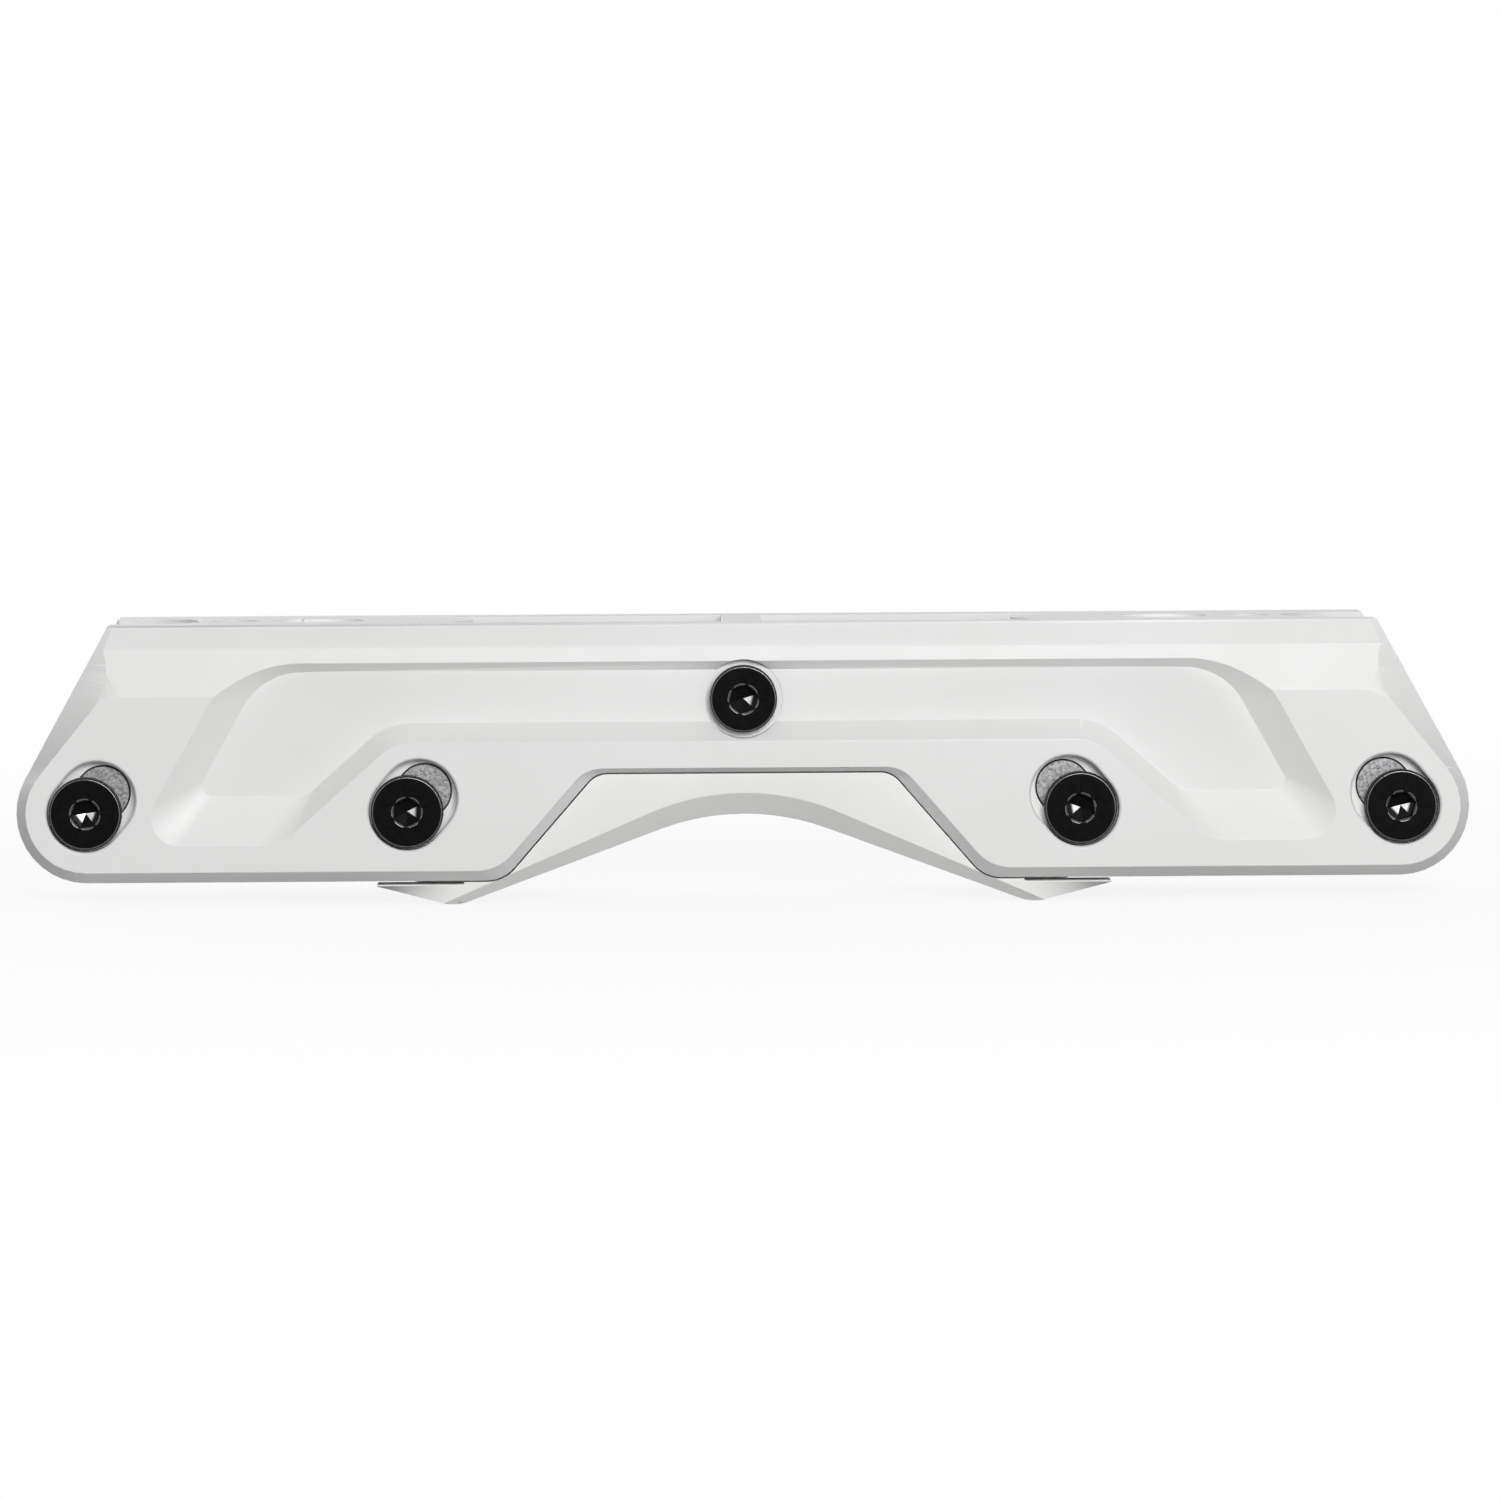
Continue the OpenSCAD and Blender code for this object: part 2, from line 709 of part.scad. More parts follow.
module grind_block() {
    color("white")
        difference() {
            union() {
                block_body();
                block_tongue();
            }
            for (side = [0, 1]) {
                mirror([0, side, 0]) arch_cutter();
                mirror([side, 0, 0])
                    across(inner_axle_x, axle_z, -channel_y, channel_y, wheel_room_r);
            }
            across(0, block_bolt_z, -face_y, face_y, axle_r + block_bolt_gap);
        }
}

// Round head with a hex socket, standing on its seat at z = 0
module head(r, turn) {
    key_r = key_af / 2 / cos(30);
    point_share = 0.96;
    difference() {
        union() {
            cylinder(h = head_h - head_bevel, r = r);
            translate([0, 0, head_h - head_bevel])
                cylinder(h = head_bevel, r1 = r, r2 = r - head_bevel);
        }
        translate([0, 0, head_h - key_depth])
            rotate(turn)
                cylinder(h = key_depth + past, r = key_r, $fn = 6);
        translate([0, 0, head_h - key_depth - key_point_h])
            rotate(turn)
                cylinder(h = key_point_h, r1 = 0, r2 = key_r * point_share, $fn = 6);
        translate([0, 0, head_h - key_bevel])
            cylinder(h = 2 * key_bevel, r1 = key_af / 2, r2 = key_r + key_bevel);
    }
}

module near_head(x, z, seat_y, r, turn) {
    translate([x, -seat_y, z])
        rotate([90, 0, 0]) head(r, turn);
}

module screw(x, z, seat_y, r, turn) {
    translate([x, seat_y, z])
        rotate([-90, 0, 0]) head(r, turn);
    across(x, z, seat_y - screw_l, seat_y + head_bevel, screw_r);
}

// Threaded hole for a screw, from the far end of a shaft
module screw_hole(x, z, seat_y) {
    across(x, z, seat_y - screw_l - end_gap, seat_y, screw_r + running_gap);
}

module axle(k) {
    x = axle_xs[k - 1];
    color("#1c1c1f")
        difference() {
            union() {
                near_head(x, axle_z, head_seat_y, head_r, axle_turns[k - 1]);
                across(x, axle_z, -head_seat_y - head_bevel, -axle_seat_y, journal_r);
                across(x, axle_z, -axle_seat_y, axle_seat_y, axle_r);
                across(x, axle_z, axle_seat_y, head_seat_y - end_gap, tip_r);
            }
            screw_hole(x, axle_z, head_seat_y);
        }
}

module axle_screw(k) {
    color("#1c1c1f") screw(axle_xs[k - 1], axle_z, head_seat_y, head_r, axle_turns[k - 1]);
}

// Plug with its axle hole off centre, in the near wall
module insert(k, hole_r) {
    color("silver")
        difference() {
            slot_across(insert_end(k, -1), insert_end(k, 1), -head_seat_y, -insert_back_y, insert_r);
            across(axle_xs[k - 1], axle_z, -head_seat_y - past, -insert_back_y + past, hole_r + running_gap);
        }
}

module near_insert(k) {
    insert(k, journal_r);
}

module far_insert(k) {
    mirror([0, 1, 0]) insert(k, tip_r);
}

module block_bolt() {
    color("#1c1c1f")
        difference() {
            union() {
                near_head(0, block_bolt_z, block_seat_y, block_head_r, block_turn);
                across(0, block_bolt_z, -block_seat_y - head_bevel, block_seat_y - end_gap, axle_r);
            }
            screw_hole(0, block_bolt_z, block_seat_y);
        }
}

module block_screw() {
    color("#1c1c1f") screw(0, block_bolt_z, block_seat_y, block_head_r, block_turn);
}

chassis();
grind_block();
block_bolt();
block_screw();
for (k = [1:axle_count]) {
    axle(k);
    axle_screw(k);
    near_insert(k);
    far_insert(k);
}
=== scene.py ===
import bpy
import bmesh
import math
from mathutils import Matrix, Vector
from mathutils.geometry import intersect_point_line


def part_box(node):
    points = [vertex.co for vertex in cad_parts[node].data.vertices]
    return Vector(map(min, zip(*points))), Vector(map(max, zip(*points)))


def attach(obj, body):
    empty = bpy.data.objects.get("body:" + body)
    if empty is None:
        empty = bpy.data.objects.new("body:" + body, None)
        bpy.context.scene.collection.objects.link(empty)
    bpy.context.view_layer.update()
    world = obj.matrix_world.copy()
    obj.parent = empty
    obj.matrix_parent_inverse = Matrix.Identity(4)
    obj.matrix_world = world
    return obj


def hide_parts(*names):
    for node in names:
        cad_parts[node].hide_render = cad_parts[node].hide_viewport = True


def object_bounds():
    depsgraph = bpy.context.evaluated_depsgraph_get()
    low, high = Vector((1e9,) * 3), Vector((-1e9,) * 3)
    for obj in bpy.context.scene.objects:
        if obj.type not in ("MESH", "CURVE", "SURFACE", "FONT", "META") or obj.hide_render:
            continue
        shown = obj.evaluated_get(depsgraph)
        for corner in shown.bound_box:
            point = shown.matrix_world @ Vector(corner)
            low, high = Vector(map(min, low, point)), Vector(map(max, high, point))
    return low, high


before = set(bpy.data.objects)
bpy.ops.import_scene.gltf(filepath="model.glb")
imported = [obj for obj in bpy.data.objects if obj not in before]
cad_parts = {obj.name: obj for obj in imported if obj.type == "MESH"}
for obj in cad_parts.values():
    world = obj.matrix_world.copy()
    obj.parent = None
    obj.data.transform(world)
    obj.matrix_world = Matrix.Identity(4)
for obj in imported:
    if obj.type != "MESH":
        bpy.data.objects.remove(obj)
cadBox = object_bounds()
mm = 0.001
print("frame loaded with", len(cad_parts), "nodes")


# finishes

noiseSpan = (0.3, 0.7)  # where most values of a noise lie
wholeSpan = (0, 1)


def newFinish(name):
    finish = bpy.data.materials.new(name)
    finish.use_nodes = True
    tree = finish.node_tree
    tree.nodes.clear()
    out = tree.nodes.new("ShaderNodeOutputMaterial")
    shader = tree.nodes.new("ShaderNodeBsdfPrincipled")
    tree.links.new(shader.outputs["BSDF"], out.inputs["Surface"])
    coords = tree.nodes.new("ShaderNodeTexCoord").outputs["Object"]
    return finish, tree, shader, coords


# gives a socket the output of another node, a colour or a number
def feed(tree, socket, value):
    if isinstance(value, bpy.types.NodeSocket):
        tree.links.new(value, socket)
    elif isinstance(value, tuple):
        socket.default_value = (*value, 1)
    else:
        socket.default_value = value


def calc(tree, operation, *values):
    node = tree.nodes.new("ShaderNodeMath")
    node.operation = operation
    for socket, value in zip(node.inputs, values):
        feed(tree, socket, value)
    return node.outputs["Value"]


def noise(tree, coords, size, detail, fineness=0.5):
    node = tree.nodes.new("ShaderNodeTexNoise")
    node.inputs["Scale"].default_value = 1 / (size * mm)  # size of a patch in mm
    node.inputs["Detail"].default_value = detail
    node.inputs["Roughness"].default_value = fineness
    tree.links.new(coords, node.inputs["Vector"])
    return node.outputs["Fac"]


def spread(tree, value, low, high, span=noiseSpan):
    node = tree.nodes.new("ShaderNodeMapRange")
    node.inputs["From Min"].default_value, node.inputs["From Max"].default_value = span
    node.inputs["To Min"].default_value = low
    node.inputs["To Max"].default_value = high
    tree.links.new(value, node.inputs["Value"])
    return node.outputs["Result"]


def between(tree, share, start, end):
    node = tree.nodes.new("ShaderNodeMix")
    node.data_type = "RGBA"
    feed(tree, node.inputs["A"], start)
    feed(tree, node.inputs["B"], end)
    tree.links.new(share, node.inputs["Factor"])
    return node.outputs["Result"]


def bump(tree, height, relief, below=None):
    node = tree.nodes.new("ShaderNodeBump")
    depth, strength = relief
    node.inputs["Distance"].default_value = depth * mm
    node.inputs["Strength"].default_value = strength
    tree.links.new(height, node.inputs["Height"])
    if below is not None:
        tree.links.new(below, node.inputs["Normal"])
    return node.outputs["Normal"]


# a noise is given by its size in mm, detail and fineness
# a relief is given by its depth in mm and its strength
frameWhite = {
    "light": (0.80, 0.80, 0.795), "dark": (0.765, 0.765, 0.755),
    "flow": (55, 3), "gloss": (9, 4, 0.6), "waves": (16, 1), "sparks": (0.32, 3),
    "rough": (0.36, 0.46), "waveRelief": (0.06, 0.25), "sparkRelief": (0.02, 0.35), "shine": 0.4,
}
blockWhite = {
    "light": (0.83, 0.83, 0.82), "dark": (0.79, 0.79, 0.775),
    "flow": (30, 3), "gloss": (6, 4, 0.6), "waves": (12, 1), "sparks": (0.25, 3),
    "rough": (0.40, 0.52), "waveRelief": (0.05, 0.25), "sparkRelief": (0.025, 0.35), "shine": 0.4,
}


def mouldedPlastic(name, look):
    finish, tree, shader, coords = newFinish(name)
    link = tree.links.new
    flow = spread(tree, noise(tree, coords, *look["flow"]), 0, 1)
    link(between(tree, flow, look["dark"], look["light"]), shader.inputs["Base Color"])
    gloss = noise(tree, coords, *look["gloss"])
    link(spread(tree, gloss, *look["rough"]), shader.inputs["Roughness"])
    waves = bump(tree, noise(tree, coords, *look["waves"]), look["waveRelief"])
    sparks = bump(tree, noise(tree, coords, *look["sparks"]), look["sparkRelief"], waves)
    link(sparks, shader.inputs["Normal"])
    shader.inputs["Specular IOR Level"].default_value = look["shine"]
    return finish


blackOxide = {
    "light": (0.005, 0.005, 0.0054), "dark": (0.002, 0.002, 0.0022),
    "patches": (1.6, 4), "wear": (1.6, 5, 0.7), "grain": (0.12, 2),
    "rough": (0.34, 0.5), "grainRelief": (0.012, 0.4), "shine": 0.03,
}
wornSteel = {
    "light": (0.05, 0.05, 0.052), "dark": (0.006, 0.006, 0.0065),
    "patches": (0.9, 4), "wear": (0.9, 5, 0.7), "grain": (0.1, 2),
    "rough": (0.16, 0.26), "grainRelief": (0.01, 0.4), "shine": 1.0,
}


def blackSteel(name, look):
    finish, tree, shader, coords = newFinish(name)
    link = tree.links.new
    patches = spread(tree, noise(tree, coords, *look["patches"]), 0, 1)
    link(between(tree, patches, look["dark"], look["light"]), shader.inputs["Base Color"])
    wear = noise(tree, coords, *look["wear"])
    link(spread(tree, wear, *look["rough"]), shader.inputs["Roughness"])
    grain = noise(tree, coords, *look["grain"])
    link(bump(tree, grain, look["grainRelief"]), shader.inputs["Normal"])
    shader.inputs["Specular IOR Level"].default_value = look["shine"]
    return finish


# painted highlight: the bright steel tone on the point of each socket stands in for its glint, and
# turns black farther from the axis
socketGlintLook = {
    "light": (0.74, 0.74, 0.75), "dark": (0.46, 0.46, 0.47), "black": (0.004, 0.004, 0.0045),
    "glintReach": (1.5, 2.1), "glintMottle": (0.7, 4), "wear": (0.7, 3), "grain": (0.1, 2),
    "rough": (0.36, 0.5), "grainRelief": (0.01, 0.3), "metal": 0.9, "shine": 0.1,
}


# socket finish with a painted highlight near the axis and black farther out
def paintedGlintFinish(name, look):
    finish, tree, shader, coords = newFinish(name)
    link = tree.links.new
    glintMottle = spread(tree, noise(tree, coords, *look["glintMottle"]), 0, 1)
    steel = between(tree, glintMottle, look["dark"], look["light"])
    reach = tree.nodes.new("ShaderNodeAttribute")
    reach.attribute_name = "reach"  # distance from the axis in mm
    black = spread(tree, reach.outputs["Fac"], 0, 1, look["glintReach"])
    link(between(tree, black, steel, look["black"]), shader.inputs["Base Color"])
    link(spread(tree, black, look["metal"], 0, wholeSpan), shader.inputs["Metallic"])
    wear = noise(tree, coords, *look["wear"])
    link(spread(tree, wear, *look["rough"]), shader.inputs["Roughness"])
    grain = noise(tree, coords, *look["grain"])
    link(bump(tree, grain, look["grainRelief"]), shader.inputs["Normal"])
    shader.inputs["Specular IOR Level"].default_value = look["shine"]
    return finish


zincPlate = {
    "light": (0.34, 0.343, 0.347), "dark": (0.024, 0.025, 0.027),
    "grainSize": 0.4, "grainShare": 0.45, "specks": (0.2, 3, 0.7), "speckShare": 0.55,
    "rough": (0.34, 0.55), "grainRelief": (0.03, 0.5), "metal": 0.85,
}


def grainyZinc(name, look):
    finish, tree, shader, coords = newFinish(name)
    link = tree.links.new
    cells = tree.nodes.new("ShaderNodeTexVoronoi")
    cells.inputs["Scale"].default_value = 1 / (look["grainSize"] * mm)
    link(coords, cells.inputs["Vector"])
    tone = tree.nodes.new("ShaderNodeSeparateColor")
    link(cells.outputs["Color"], tone.inputs["Color"])
    specks = noise(tree, coords, *look["specks"])
    speckTone = spread(tree, specks, 0, look["speckShare"])
    grain = calc(tree, "MULTIPLY_ADD", tone.outputs["Red"], look["grainShare"], speckTone)
    link(between(tree, grain, look["dark"], look["light"]), shader.inputs["Base Color"])
    link(spread(tree, specks, *look["rough"]), shader.inputs["Roughness"])
    link(bump(tree, grain, look["grainRelief"]), shader.inputs["Normal"])
    shader.inputs["Metallic"].default_value = look["metal"]
    return finish


framePlastic = mouldedPlastic("frame_plastic", frameWhite)
blockPlastic = mouldedPlastic("block_plastic", blockWhite)
headSteel = blackSteel("black_steel", blackOxide)
rimSteel = blackSteel("worn_rim", wornSteel)
# painted highlight for the points of the sockets
socketGlint = paintedGlintFinish("socket_painted_glint", socketGlintLook)
plugZinc = grainyZinc("zinc", zincPlate)
print("finishes made")


# pieces taken from the solids, with their sharp edges broken

meshCare = {"weld": 0.002, "shellWeld": 0.02, "flatAngle": 0.05}  # mm, mm and degrees


def cleanMesh(nodeName, pieceName, weld=meshCare["weld"], flatten=False):
    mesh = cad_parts[nodeName].data.copy()
    mesh.name = pieceName
    mesh.materials.clear()
    build = bmesh.new()
    build.from_mesh(mesh)
    bmesh.ops.remove_doubles(build, verts=build.verts, dist=weld * mm)
    if flatten:
        flatAngle = math.radians(meshCare["flatAngle"])
        bmesh.ops.dissolve_limit(
            build, angle_limit=flatAngle, verts=build.verts, edges=build.edges
        )
    build.to_mesh(mesh)
    build.free()
    return mesh


def plainMesh(piece, name):
    done = piece.evaluated_get(bpy.context.evaluated_depsgraph_get())
    mesh = bpy.data.meshes.new_from_object(done)
    mesh.name = name
    bpy.data.objects.remove(piece)
    return mesh


def newObject(mesh):
    piece = bpy.data.objects.new(mesh.name, mesh)
    bpy.context.scene.collection.objects.link(piece)
    return piece


edgeLook = {
    "angle": 12.5, "segments": 2, "room": 2, "rounds": 8, "evenness": 50,  # room in widths
    "spotReach": 0.8, "leastArea": 1e-9, "leastTurn": 0.2,  # area in square metres
}
slantLook = {"least": 0.03, "most": 0.97, "angle": 25}


def farFrom(spot, ends):
    share = intersect_point_line(spot, *ends)[1]
    near = ends[0].lerp(ends[1], min(max(share, 0), 1))
    return (near - spot).length > edgeLook["spotReach"] * mm


# corners of the triangles that turn away from their own face
def foldedSpots(mesh):
    mesh.calc_loop_triangles()
    spots = []
    for tri in mesh.loop_triangles:
        turn = tri.normal.dot(mesh.polygons[tri.polygon_index].normal)
        if tri.area > edgeLook["leastArea"] and turn < edgeLook["leastTurn"]:
            spots += [mesh.vertices[index].co.copy() for index in tri.vertices]
    return spots


# bevels at the ends of the walls and along the arch turn along their length and are shaded as one
def onTurnedBevel(edge, look):
    x = edge.verts[0].co.x
    tilts = [
        face.normal.x * math.copysign(1, x) for face in edge.link_faces
        if slantLook["least"] < abs(face.normal.y) < slantLook["most"]
    ]
    return (
        len(tilts) == 2 and min(tilts) > look["bevelTilt"] and abs(x) > look["bevelReach"] * mm
        and edge.calc_face_angle(0) < math.radians(slantLook["angle"])
    )


# edges sharper than the angle are broken, or kept sharp where the break would fold over
def breakEdges(mesh, width, finishIndex=-1, shell=None):
    build = bmesh.new()
    build.from_mesh(mesh)
    least = [min(edge.calc_length() for edge in vert.link_edges) for vert in build.verts]
    limit = math.radians(edgeLook["angle"])
    sharp = {
        edge.index: [vert.co.copy() for vert in edge.verts]
        for edge in build.edges
        if edge.calc_face_angle(0) > limit and not (shell and onTurnedBevel(edge, shell))
    }
    build.free()
    room = edgeLook["room"] * width * mm
    broken = {
        index for index in sharp
        if min(least[vert] for vert in mesh.edges[index].vertices) > room
    }
    mesh.attributes.new("bevel_weight_edge", "FLOAT", "EDGE")
    for turn in range(edgeLook["rounds"]):
        weights = mesh.attributes["bevel_weight_edge"]
        for edge in mesh.edges:
            weights.data[edge.index].value = 1 if edge.index in broken else 0
            edge.use_edge_sharp = edge.index in sharp and edge.index not in broken
        piece = newObject(mesh.copy())
        maker = piece.modifiers.new("edges", "BEVEL")
        maker.width = width * mm
        maker.segments = edgeLook["segments"]
        maker.limit_method = "WEIGHT"
        maker.use_clamp_overlap = False
        maker.miter_outer = "MITER_ARC"
        maker.material = finishIndex
        done = plainMesh(piece, mesh.name)
        spots = foldedSpots(done)
        if not spots:
            break
        broken = {index for index in broken if all(farFrom(spot, sharp[index]) for spot in spots)}
    print(mesh.name, "edges broken", len(broken), "of", len(sharp), "in", turn + 1, "rounds")
    return done


def addPiece(mesh, nodeName, body, name):
    mesh.name = name
    for face in mesh.polygons:
        face.use_smooth = True
    piece = newObject(mesh)
    piece.name = name
    even = piece.modifiers.new("shading", "WEIGHTED_NORMAL")
    even.keep_sharp = True
    even.weight = edgeLook["evenness"]
    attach(piece, body)
    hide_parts(nodeName)
    return piece


# edge and bevelReach in mm, bevelTilt as the least outward lean of a turned bevel
shellLook = {
    "chassis": {
        "finish": framePlastic, "slot": "frame_plastic",
        "edge": 0.12, "bevelReach": 105, "bevelTilt": 0.05,
    },
    "grind_block": {
        "finish": blockPlastic, "slot": "block_plastic",
        "edge": 0.15, "bevelReach": 0, "bevelTilt": -1.1,
    },
}

for nodeName, look in shellLook.items():
    mesh = cleanMesh(nodeName, nodeName + "_draft", meshCare["shellWeld"], flatten=True)
    mesh.materials.append(look["finish"])
    mesh = breakEdges(mesh, look["edge"], shell=look)
    addPiece(mesh, nodeName, "frame", nodeName + "_moulding")
print("mouldings made")

axleNumbers = range(1, 5)
plugLook = {"edge": 0.15}

for k in axleNumbers:
    for side in ("near", "far"):
        nodeName = f"{side}_insert_{k}"
        mesh = cleanMesh(nodeName, nodeName + "_draft")
        mesh.materials.append(plugZinc)
        mesh = breakEdges(mesh, plugLook["edge"])
        addPiece(mesh, nodeName, nodeName, f"{side}_plug_{k}")
print("plugs made")


# heads, with worn rims and a painted highlight on the point at the bottom of each hex socket

headLook = {
    "edge": 0.13, "socketReach": 3.0, "mouthDepth": 0.5, "pointDepth": (2.02, 3.0),
    "facing": (0.2, 0.98),
}
headFinishes = (headSteel, socketGlint, rimSteel)
plainIndex, glintIndex, rimIndex = range(3)  # places in headFinishes


def addHeadFinishes(mesh):
    for finish in headFinishes:
        mesh.materials.append(finish)


def turningAxis(low, high):
    return (low.x + high.x) / 2, (low.z + high.z) / 2


def reachFrom(axis, spot):
    return math.hypot(spot.x - axis[0], spot.z - axis[1])


def paintSocket(mesh, axis, faceY, outward):
    addHeadFinishes(mesh)
    leastFacing, mostFacing = headLook["facing"]
    pointTop, pointBottom = (depth * mm for depth in headLook["pointDepth"])
    for face in mesh.polygons:
        depth = (faceY - face.center.y) * outward
        inSocket = reachFrom(axis, face.center) < headLook["socketReach"] * mm
        face.material_index = plainIndex
        # painted highlight: in the socket, the upward-facing side facets of the point get the
        # bright socket finish
        if inSocket and leastFacing < face.normal.y * outward < mostFacing:
            if depth < headLook["mouthDepth"] * mm:
                face.material_index = rimIndex
            elif pointTop < depth < pointBottom and abs(face.normal.x) > face.normal.z > 0:
                face.material_index = glintIndex


def measureReach(mesh, axis):
    reach = mesh.attributes.new("reach", "FLOAT", "POINT")
    for vert in mesh.vertices:
        reach.data[vert.index].value = reachFrom(axis, vert.co) / mm


for nodeName in [f"axle_{k}" for k in axleNumbers] + ["block_bolt"]:
    low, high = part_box(nodeName)
    axis = turningAxis(low, high)
    mesh = cleanMesh(nodeName, nodeName + "_draft")
    paintSocket(mesh, axis, low.y, -1)
    mesh = breakEdges(mesh, headLook["edge"], rimIndex)
    measureReach(mesh, axis)
    addPiece(mesh, nodeName, nodeName, nodeName + "_turned")


# threads of the screws, cut into each shank by a rule of turn and height

threadLook = {
    "pitch": 0.8, "depth": 0.34, "runout": 1.4, "point": 0.5, "around": 40, "ringsPerTurn": 10,
    "flank": 1.3, "crest": 0.2, "start": 0.6,
}


def limited(tree, value):
    return calc(tree, "MINIMUM", calc(tree, "MAXIMUM", value, 0.0), 1.0)


def threadTree():
    tree = bpy.data.node_groups.new("screwThread", "GeometryNodeTree")
    link = tree.links.new
    for name in ("Radius", "Length", "Pitch", "Depth", "Runout", "Point"):
        tree.interface.new_socket(name, in_out="INPUT", socket_type="NodeSocketFloat")
    tree.interface.new_socket("Rings", in_out="INPUT", socket_type="NodeSocketInt")
    tree.interface.new_socket("Finish", in_out="INPUT", socket_type="NodeSocketMaterial")
    tree.interface.new_socket("Geometry", in_out="OUTPUT", socket_type="NodeSocketGeometry")
    given = tree.nodes.new("NodeGroupInput").outputs
    rod = tree.nodes.new("GeometryNodeMeshCylinder")
    rod.inputs["Vertices"].default_value = threadLook["around"]
    link(given["Rings"], rod.inputs["Side Segments"])
    link(given["Radius"], rod.inputs["Radius"])
    link(given["Length"], rod.inputs["Depth"])
    axes = tree.nodes.new("ShaderNodeSeparateXYZ")
    link(tree.nodes.new("GeometryNodeInputPosition").outputs["Position"], axes.inputs["Vector"])
    x, y, z = (axes.outputs[name] for name in "XYZ")
    turn = calc(tree, "DIVIDE", calc(tree, "ARCTAN2", y, x), math.tau)
    phase = calc(tree, "FRACT", calc(tree, "ADD", calc(tree, "DIVIDE", z, given["Pitch"]), turn))
    wave = calc(tree, "ABSOLUTE", calc(tree, "MULTIPLY_ADD", phase, 2.0, -1.0))  # 1 in the groove
    flank = calc(tree, "MULTIPLY_ADD", wave, threadLook["flank"], -threadLook["crest"])
    groove = limited(tree, flank)
    half = calc(tree, "MULTIPLY", given["Length"], 0.5)
    belowHead = calc(tree, "DIVIDE", calc(tree, "SUBTRACT", half, z), given["Runout"])
    fade = limited(tree, calc(tree, "SUBTRACT", belowHead, threadLook["start"]))
    cut = calc(tree, "MULTIPLY", calc(tree, "MULTIPLY", groove, fade), given["Depth"])
    tip = calc(tree, "SUBTRACT", given["Point"], calc(tree, "ADD", z, half))
    inward = calc(tree, "MAXIMUM", cut, tip)
    shrink = calc(tree, "SUBTRACT", 1.0, calc(tree, "DIVIDE", inward, given["Radius"]))
    moved = tree.nodes.new("ShaderNodeCombineXYZ")
    link(calc(tree, "MULTIPLY", x, shrink), moved.inputs["X"])
    link(calc(tree, "MULTIPLY", y, shrink), moved.inputs["Y"])
    link(z, moved.inputs["Z"])
    shaped = tree.nodes.new("GeometryNodeSetPosition")
    link(rod.outputs["Mesh"], shaped.inputs["Geometry"])
    link(moved.outputs["Vector"], shaped.inputs["Position"])
    real = tree.nodes.new("GeometryNodeRealizeInstances")
    link(shaped.outputs["Geometry"], real.inputs["Geometry"])
    dressed = tree.nodes.new("GeometryNodeSetMaterial")
    link(real.outputs["Geometry"], dressed.inputs["Geometry"])
    link(given["Finish"], dressed.inputs["Material"])
    out = tree.nodes.new("NodeGroupOutput")
    link(dressed.outputs["Geometry"], out.inputs["Geometry"])
    return tree


thread = threadTree()


def threadedShank(name, radius, length):
    piece = newObject(bpy.data.meshes.new(name))
    maker = piece.modifiers.new("thread", "NODES")
    maker.node_group = thread
    values = {
        "Radius": radius, "Length": length, "Pitch": threadLook["pitch"] * mm,
        "Depth": threadLook["depth"] * mm, "Runout": threadLook["runout"] * mm,
        "Point": threadLook["point"] * mm, "Finish": headSteel,
        "Rings": round(length / mm / threadLook["pitch"] * threadLook["ringsPerTurn"]),
    }
    for item in thread.interface.items_tree:
        if item.in_out == "INPUT":
            maker[item.identifier] = values[item.name]
    return plainMesh(piece, name)


screwLook = {"shankRadius": 2.5, "headHeight": 3.0, "intoHead": 0.3, "seatGap": 0.02}


def cutOffShank(mesh, seatY):
    build = bmesh.new()
    build.from_mesh(mesh)
    limit = seatY - screwLook["seatGap"] * mm
    shank = [face for face in build.faces if face.calc_center_median().y < limit]
    bmesh.ops.delete(build, geom=shank, context="FACES")
    build.to_mesh(mesh)
    build.free()


def joined(meshes, name):
    build = bmesh.new()
    for mesh in meshes:
        build.from_mesh(mesh)
    whole = bpy.data.meshes.new(name)
    build.to_mesh(whole)
    build.free()
    return whole


for nodeName in [f"axle_screw_{k}" for k in axleNumbers] + ["block_screw"]:
    low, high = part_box(nodeName)
    axis = turningAxis(low, high)
    seatY = high.y - screwLook["headHeight"] * mm
    head = cleanMesh(nodeName, nodeName + "_head")
    cutOffShank(head, seatY)
    paintSocket(head, axis, high.y, 1)
    head = breakEdges(head, headLook["edge"], rimIndex)
    length = seatY - low.y + screwLook["intoHead"] * mm
    shank = threadedShank(nodeName + "_shank", screwLook["shankRadius"] * mm, length)
    for face in shank.polygons:
        face.material_index = plainIndex
    lying = Matrix.Rotation(math.radians(-90), 4, "X")
    shank.transform(Matrix.Translation((axis[0], low.y + length / 2, axis[1])) @ lying)
    mesh = joined((head, shank), nodeName + "_turned")
    addHeadFinishes(mesh)
    measureReach(mesh, axis)
    addPiece(mesh, nodeName, nodeName, nodeName + "_turned")
print("axles and screws made")


# floor, light and camera, with places and sizes in metres

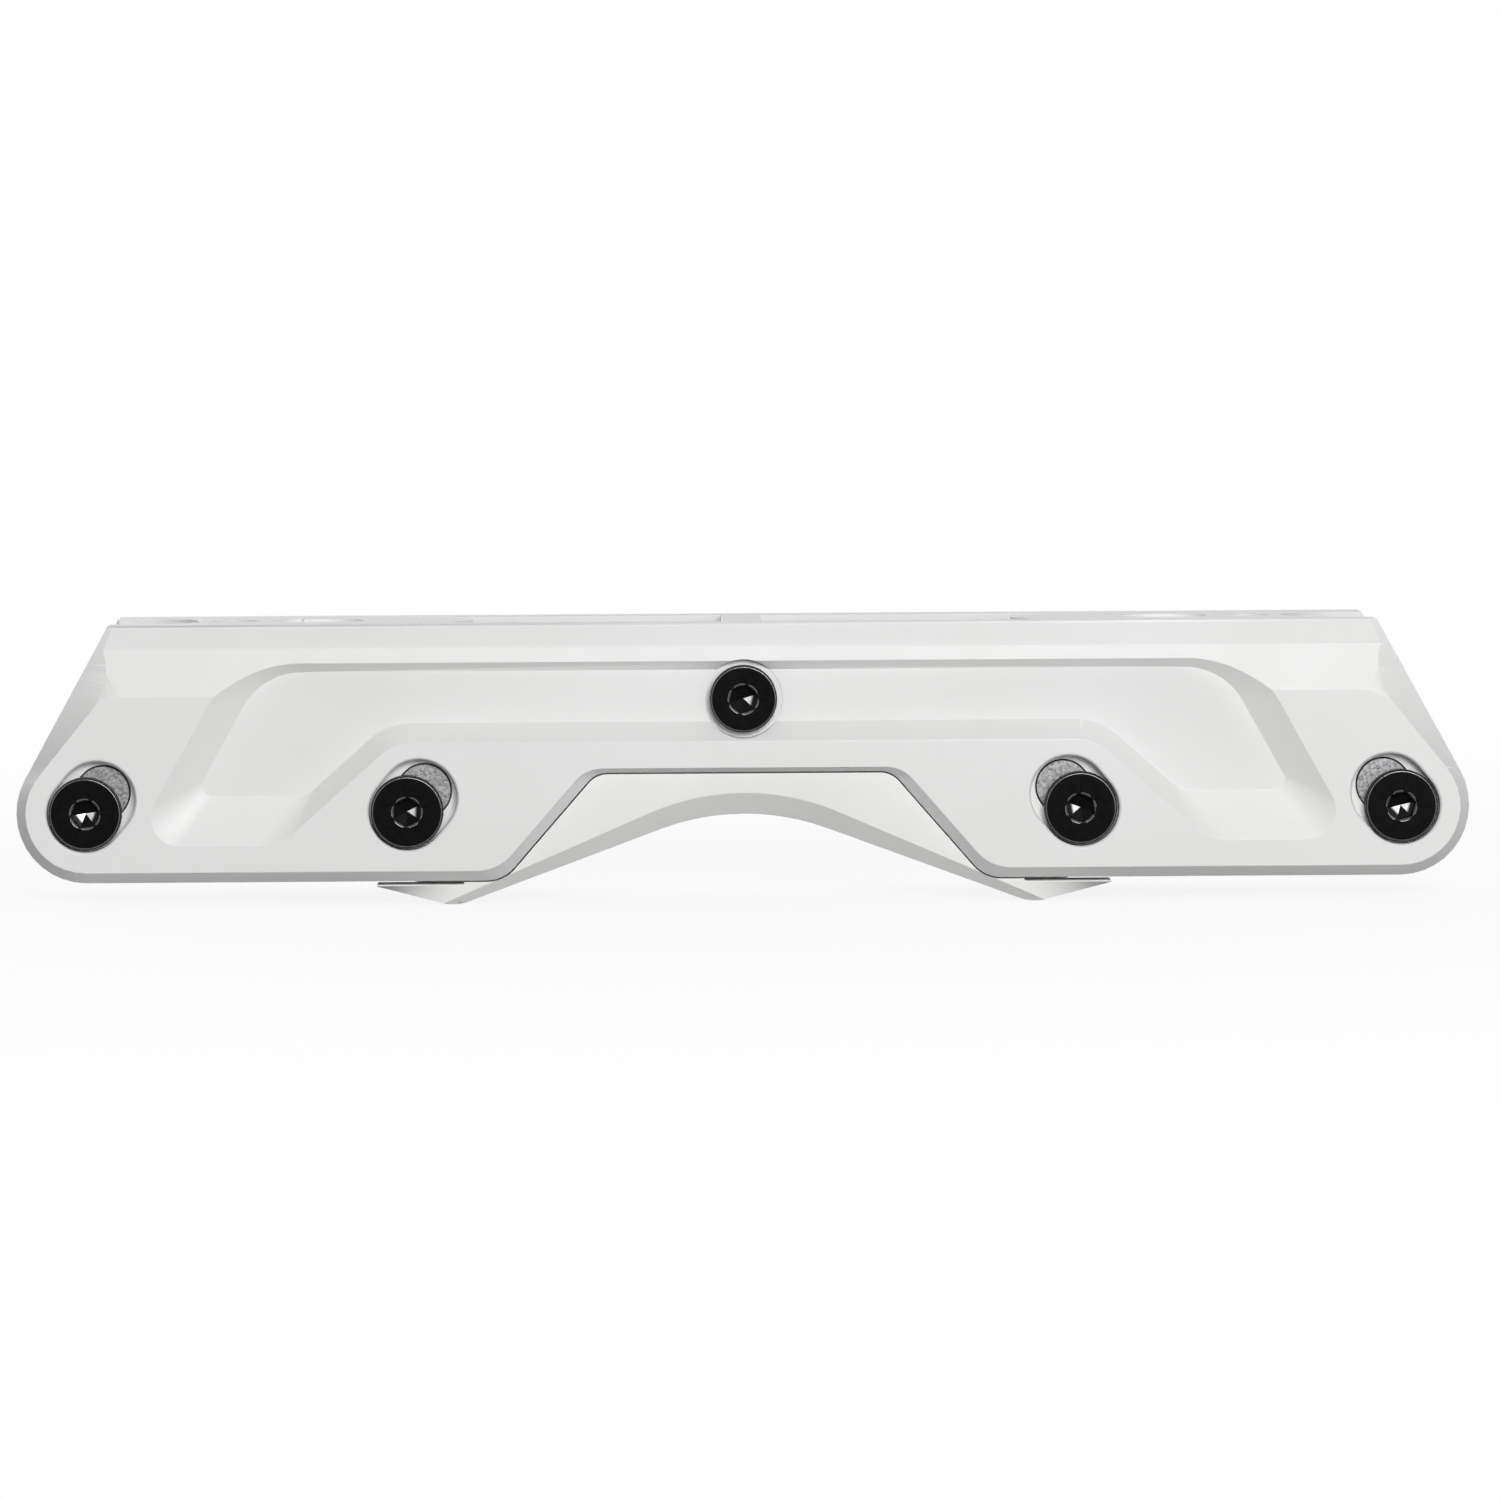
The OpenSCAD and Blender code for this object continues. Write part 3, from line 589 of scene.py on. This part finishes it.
stageLook = {
    "floorSize": 60, "shadow": 0.12, "shadowSpan": (0.1, 0.6), "matte": 1.0, "bounce": 0.32,
    "skyFront": 0.05, "skyBehind": 0.8, "skyTurn": (0.1, 0.5), "white": (1, 1, 1),
}
lampLook = {
    "front": {"place": (0.26, -1.6, 0.56), "size": (0.8, 0.5), "watts": 20.2},
    "sideLeft": {"place": (-0.8, -1.45, 0.36), "size": (0.3, 0.3), "watts": 1.2},
    "sideRight": {"place": (0.5, -1.55, 0.14), "size": (0.3, 0.3), "watts": 3.2},
    "overhead": {"place": (0.0, 0.1, 1.5), "size": (1.4, 0.8), "watts": 1.3},
    "back": {"place": (-0.7, 1.55, 0.46), "size": (0.6, 0.5), "watts": 9.5},
}


# the pale background is seen directly, in gloss and through glass
def backgroundRay(tree):
    ray = tree.nodes.new("ShaderNodeLightPath").outputs
    mirrored = calc(tree, "MAXIMUM", ray["Is Glossy Ray"], ray["Is Transmission Ray"])
    return calc(tree, "MAXIMUM", ray["Is Camera Ray"], mirrored)


def makeFloor(height):
    bpy.ops.mesh.primitive_plane_add(size=stageLook["floorSize"], location=(0, 0, 0))
    floor = bpy.context.object
    floor.name = "floor"
    floor.data.transform(Matrix.Translation((0, 0, height)))
    finish = bpy.data.materials.new("paleFloor")
    finish.use_nodes = True
    tree = finish.node_tree
    tree.nodes.clear()
    link = tree.links.new
    out = tree.nodes.new("ShaderNodeOutputMaterial")
    mix = tree.nodes.new("ShaderNodeMixShader")
    matte = tree.nodes.new("ShaderNodeBsdfDiffuse")
    tone = spread(
        tree, backgroundRay(tree), stageLook["bounce"], stageLook["matte"], wholeSpan
    )
    link(tone, matte.inputs["Color"])
    glow = tree.nodes.new("ShaderNodeEmission")
    feed(tree, glow.inputs["Color"], stageLook["white"])
    coords = tree.nodes.new("ShaderNodeTexCoord")
    far = tree.nodes.new("ShaderNodeVectorMath")
    far.operation = "LENGTH"
    link(coords.outputs["Object"], far.inputs[0])
    leastGlow = 1 - stageLook["shadow"]
    fade = spread(tree, far.outputs["Value"], leastGlow, 1, stageLook["shadowSpan"])
    link(calc(tree, "MULTIPLY", backgroundRay(tree), fade), mix.inputs["Fac"])
    link(matte.outputs["BSDF"], mix.inputs[1])
    link(glow.outputs["Emission"], mix.inputs[2])
    link(mix.outputs["Shader"], out.inputs["Surface"])
    floor.data.materials.append(finish)


# a pale backdrop behind the part and a darker room in front of it
def makeSky():
    world = bpy.data.worlds.new("softSky")
    bpy.context.scene.world = world
    world.use_nodes = True
    tree = world.node_tree
    link = tree.links.new
    sky = tree.nodes["Background"]
    feed(tree, sky.inputs["Color"], stageLook["white"])
    way = tree.nodes.new("ShaderNodeSeparateXYZ")
    link(tree.nodes.new("ShaderNodeTexCoord").outputs["Generated"], way.inputs["Vector"])
    light = spread(
        tree, way.outputs["Y"], stageLook["skyFront"], stageLook["skyBehind"], stageLook["skyTurn"]
    )
    link(calc(tree, "MAXIMUM", light, backgroundRay(tree)), sky.inputs["Strength"])


def makeLamp(name, place, size, watts):
    lamp = bpy.data.lights.new(name, "AREA")
    lamp.shape = "RECTANGLE"
    lamp.size, lamp.size_y = size
    lamp.energy = watts
    holder = bpy.data.objects.new(name, lamp)
    holder.location = place
    holder.rotation_euler = (-Vector(place)).to_track_quat("-Z", "Y").to_euler()
    bpy.context.scene.collection.objects.link(holder)


makeFloor(cadBox[0].z)
makeSky()
for name, look in lampLook.items():
    makeLamp(name, **look)

# place in mm and angles in degrees
cameraView = {
    "place": (-20.83, -1490.66, 68.13), "yaw": 0.859, "pitch": 3.609, "roll": -0.315,
    "focalPixels": 7634.3, "imagePixels": 1500, "sensorWidth": 36, "clipEnd": 100,
}


def makeCamera(view):
    yaw, pitch, roll = (math.radians(view[key]) for key in ("yaw", "pitch", "roll"))
    ahead = Vector((
        math.sin(yaw) * math.cos(pitch), math.cos(yaw) * math.cos(pitch), -math.sin(pitch)
    ))
    right = Vector((math.cos(yaw), -math.sin(yaw), 0))
    up = right.cross(ahead)
    turnedRight = right * math.cos(roll) + up * math.sin(roll)
    turnedUp = up * math.cos(roll) - right * math.sin(roll)
    camera = bpy.data.objects.new("camera", bpy.data.cameras.new("camera"))
    camera.data.sensor_width = view["sensorWidth"]
    camera.data.lens = view["sensorWidth"] * view["focalPixels"] / view["imagePixels"]
    camera.data.clip_end = view["clipEnd"]
    turn = Matrix((turnedRight, turnedUp, -ahead)).transposed().to_4x4()
    camera.matrix_world = Matrix.Translation(Vector(view["place"]) * mm) @ turn
    bpy.context.scene.collection.objects.link(camera)
    bpy.context.scene.camera = camera


makeCamera(cameraView)
bpy.context.scene.view_settings.view_transform = "Standard"
print("floor, light and camera made")
